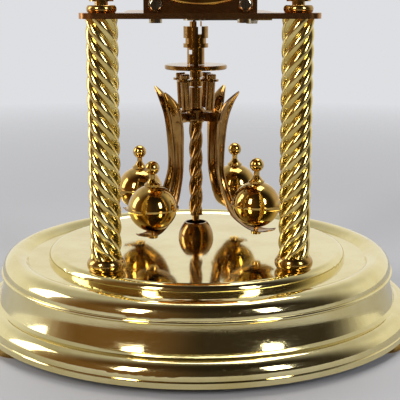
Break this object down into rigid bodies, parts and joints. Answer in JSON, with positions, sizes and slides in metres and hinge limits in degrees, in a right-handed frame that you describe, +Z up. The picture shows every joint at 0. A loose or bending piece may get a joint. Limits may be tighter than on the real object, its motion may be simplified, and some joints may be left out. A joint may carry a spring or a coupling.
{
  "type": "anniversary clock",
  "caption": "Torsion-pendulum mantel clock: round spun-brass base, two rope-twist columns, platform with movement and dial, and a four-ball pendulum on petal arms.",
  "frame": {"origin": "centre of the round base, on the surface that the levelling wheels stand on", "axes": "+Z up, -Y towards the dial's front, +X to the viewer's right"},
  "size_m": [0.1974, 0.1974, 0.2296],
  "materials": {
    "spun_brass": "spun and polished, champagne gold",
    "black_cover": "black enamelled sheet",
    "turned_brass": "polished",
    "plate_brass": "lacquered, darkened",
    "pendulum_brass": "lacquered",
    "ball_brass": "polished, lacquered",
    "wheel_brass": "grained",
    "bezel_brass": "polished",
    "screw_steel": "nickelled",
    "dark_steel": "polished steel",
    "spring_steel": "blued spring steel",
    "dial_enamel": "ivory enamel, satin",
    "hand_black": "black lacquer"
  },
  "bodies": {
    "clock_frame": {"base_shell": "spun_brass", "base_plate": "black_cover", "pendulum_cup": "pendulum_brass", "column_feet": "turned_brass", "column_left": "turned_brass", "column_right": "turned_brass", "column_bolts": "screw_steel", "platform": "plate_brass", "column_finials": "turned_brass", "guide_bush": "plate_brass", "platform_screws": "screw_steel", "front_plate": "plate_brass", "back_plate": "plate_brass", "pillars": "plate_brass", "plate_screws": "screw_steel", "dial": "dial_enamel", "dial_bezel": "bezel_brass", "suspension_bracket": "plate_brass", "top_block": "plate_brass", "suspension_spring": "spring_steel"},
    "levelling_screw_left": {"levelling_screw_left": "turned_brass"},
    "levelling_screw_right": {"levelling_screw_right": "turned_brass"},
    "levelling_screw_rear": {"levelling_screw_rear": "turned_brass"},
    "locking_lever": {"locking_lever": "screw_steel"},
    "pendulum": {"pendulum_head": "pendulum_brass", "hub": "pendulum_brass", "hinge_pins": "dark_steel", "twisted_rod": "pendulum_brass", "bottom_block": "pendulum_brass"},
    "regulator": {"regulating_disc": "pendulum_brass"},
    "adjuster": {"star_washer": "pendulum_brass", "arm_links": "pendulum_brass"},
    "arm_1": {"arm_1": "pendulum_brass", "ball_1": "ball_brass", "ball_finial_1": "ball_brass"},
    "arm_2": {"arm_2": "pendulum_brass", "ball_2": "ball_brass", "ball_finial_2": "ball_brass"},
    "arm_3": {"arm_3": "pendulum_brass", "ball_3": "ball_brass", "ball_finial_3": "ball_brass"},
    "arm_4": {"arm_4": "pendulum_brass", "ball_4": "ball_brass", "ball_finial_4": "ball_brass"},
    "fork": {"fork": "pendulum_brass"},
    "anchor": {"anchor": "dark_steel"},
    "centre": {"centre_wheel": "wheel_brass", "cannon_pinion": "wheel_brass", "minute_hand": "hand_black"},
    "hour": {"hour_wheel": "wheel_brass", "hour_hand": "hand_black"},
    "minute_work": {"minute_wheel": "wheel_brass"},
    "intermediate": {"intermediate_wheel": "wheel_brass"},
    "barrel": {"barrel": "wheel_brass", "mainspring": "spring_steel"},
    "third": {"third_wheel": "wheel_brass"},
    "escape": {"escape_wheel": "wheel_brass"},
    "winding": {"winding_arbor": "dark_steel", "ratchet_wheel": "dark_steel"},
    "click": {"click": "dark_steel"}
  },
  "joints": [
    {"name": "levelling_screw_left_turn", "type": "hinge", "parent": "clock_frame", "child": "levelling_screw_left", "pos_m": [-0.07725, -0.0446, 0], "axis": [0, 0, 1], "range_deg": [-360, 360]},
    {"name": "levelling_screw_right_turn", "type": "hinge", "parent": "clock_frame", "child": "levelling_screw_right", "pos_m": [0.07725, -0.0446, 0], "axis": [0, 0, 1], "range_deg": [-360, 360]},
    {"name": "levelling_screw_rear_turn", "type": "hinge", "parent": "clock_frame", "child": "levelling_screw_rear", "pos_m": [0, 0.0892, 0], "axis": [0, 0, 1], "range_deg": [-360, 360]},
    {"name": "lever_swing", "type": "hinge", "parent": "clock_frame", "child": "locking_lever", "pos_m": [0.0256, 0.012, 0.1374], "axis": [0, 0, 1], "range_deg": [0, 40]},
    {"name": "pendulum_swing", "type": "hinge", "parent": "clock_frame", "child": "pendulum", "pos_m": [0, 0.012, 0.116], "axis": [0, 0, 1], "range_deg": [-150, 150], "stiffness_Nm_per_rad": 0.00015, "deforming": ["suspension_spring"]},
    {"name": "regulator_turn", "type": "hinge", "parent": "pendulum", "child": "regulator", "pos_m": [0, 0.012, 0.116], "axis": [0, 0, 1], "range_deg": [-180, 180]},
    {"name": "adjuster_slide", "type": "slide", "parent": "pendulum", "child": "adjuster", "axis": [0, 0, 1], "range_m": [-0.000125, 0.000125]},
    {"name": "arm_1_tilt", "type": "hinge", "parent": "pendulum", "child": "arm_1", "pos_m": [0.00511, 0.00815, 0.0932], "axis": [0.6018, 0.7986, 0], "range_deg": [-4, 4]},
    {"name": "arm_2_tilt", "type": "hinge", "parent": "pendulum", "child": "arm_2", "pos_m": [0.00385, 0.01711, 0.0932], "axis": [-0.7986, 0.6018, 0], "range_deg": [-4, 4]},
    {"name": "arm_3_tilt", "type": "hinge", "parent": "pendulum", "child": "arm_3", "pos_m": [-0.00511, 0.01585, 0.0932], "axis": [-0.6018, -0.7986, 0], "range_deg": [-4, 4]},
    {"name": "arm_4_tilt", "type": "hinge", "parent": "pendulum", "child": "arm_4", "pos_m": [-0.00385, 0.00689, 0.0932], "axis": [0.7986, -0.6018, 0], "range_deg": [-4, 4]},
    {"name": "fork_turn", "type": "hinge", "parent": "clock_frame", "child": "fork", "pos_m": [0, 0.012, 0.2166], "axis": [0, 0, 1], "range_deg": [-3, 3]},
    {"name": "anchor_rock", "type": "hinge", "parent": "clock_frame", "child": "anchor", "pos_m": [0, -0.0245, 0.2092], "axis": [0, 1, 0], "range_deg": [-5, 5]},
    {"name": "centre_turn", "type": "hinge", "parent": "clock_frame", "child": "centre", "pos_m": [0, -0.0245, 0.187], "axis": [0, 1, 0], "continuous": true},
    {"name": "hour_turn", "type": "hinge", "parent": "clock_frame", "child": "hour", "pos_m": [0, -0.0245, 0.187], "axis": [0, 1, 0], "continuous": true},
    {"name": "minute_work_turn", "type": "hinge", "parent": "clock_frame", "child": "minute_work", "pos_m": [0.00848, -0.0245, 0.17852], "axis": [0, 1, 0], "continuous": true},
    {"name": "intermediate_turn", "type": "hinge", "parent": "clock_frame", "child": "intermediate", "pos_m": [0.01018, -0.0245, 0.18064], "axis": [0, 1, 0], "continuous": true},
    {"name": "barrel_turn", "type": "hinge", "parent": "clock_frame", "child": "barrel", "pos_m": [-0.00332, -0.0245, 0.16455], "axis": [0, 1, 0], "continuous": true},
    {"name": "third_turn", "type": "hinge", "parent": "clock_frame", "child": "third", "pos_m": [-0.00892, -0.0245, 0.19503], "axis": [0, 1, 0], "continuous": true},
    {"name": "escape_turn", "type": "hinge", "parent": "clock_frame", "child": "escape", "pos_m": [0, -0.0245, 0.19955], "axis": [0, 1, 0], "continuous": true},
    {"name": "winding_turn", "type": "hinge", "parent": "clock_frame", "child": "winding", "pos_m": [-0.00332, -0.0245, 0.16455], "axis": [0, 1, 0], "continuous": true},
    {"name": "click_swing", "type": "hinge", "parent": "clock_frame", "child": "click", "pos_m": [0.00708, -0.003, 0.17115], "axis": [0, 1, 0], "range_deg": [0, 12], "stiffness_Nm_per_rad": 0.0005}
  ],
  "couplings": [
    {"joint": "regulator_turn", "follows": "adjuster_slide", "rad_per_m": 25133},
    {"joint": "arm_1_tilt", "follows": "adjuster_slide", "rad_per_m": -476.19},
    {"joint": "arm_2_tilt", "follows": "adjuster_slide", "rad_per_m": -476.19},
    {"joint": "arm_3_tilt", "follows": "adjuster_slide", "rad_per_m": -476.19},
    {"joint": "arm_4_tilt", "follows": "adjuster_slide", "rad_per_m": -476.19},
    {"joint": "fork_turn", "follows": "pendulum_swing", "ratio": 0.01},
    {"joint": "anchor_rock", "follows": "pendulum_swing", "ratio": 0.01757},
    {"joint": "hour_turn", "follows": "centre_turn", "ratio": 0.083333},
    {"joint": "minute_work_turn", "follows": "centre_turn", "ratio": -0.33333},
    {"joint": "intermediate_turn", "follows": "centre_turn", "ratio": -0.25},
    {"joint": "barrel_turn", "follows": "centre_turn", "ratio": 0.041667},
    {"joint": "third_turn", "follows": "centre_turn", "ratio": -5},
    {"joint": "escape_turn", "follows": "centre_turn", "ratio": 20}
  ]
}
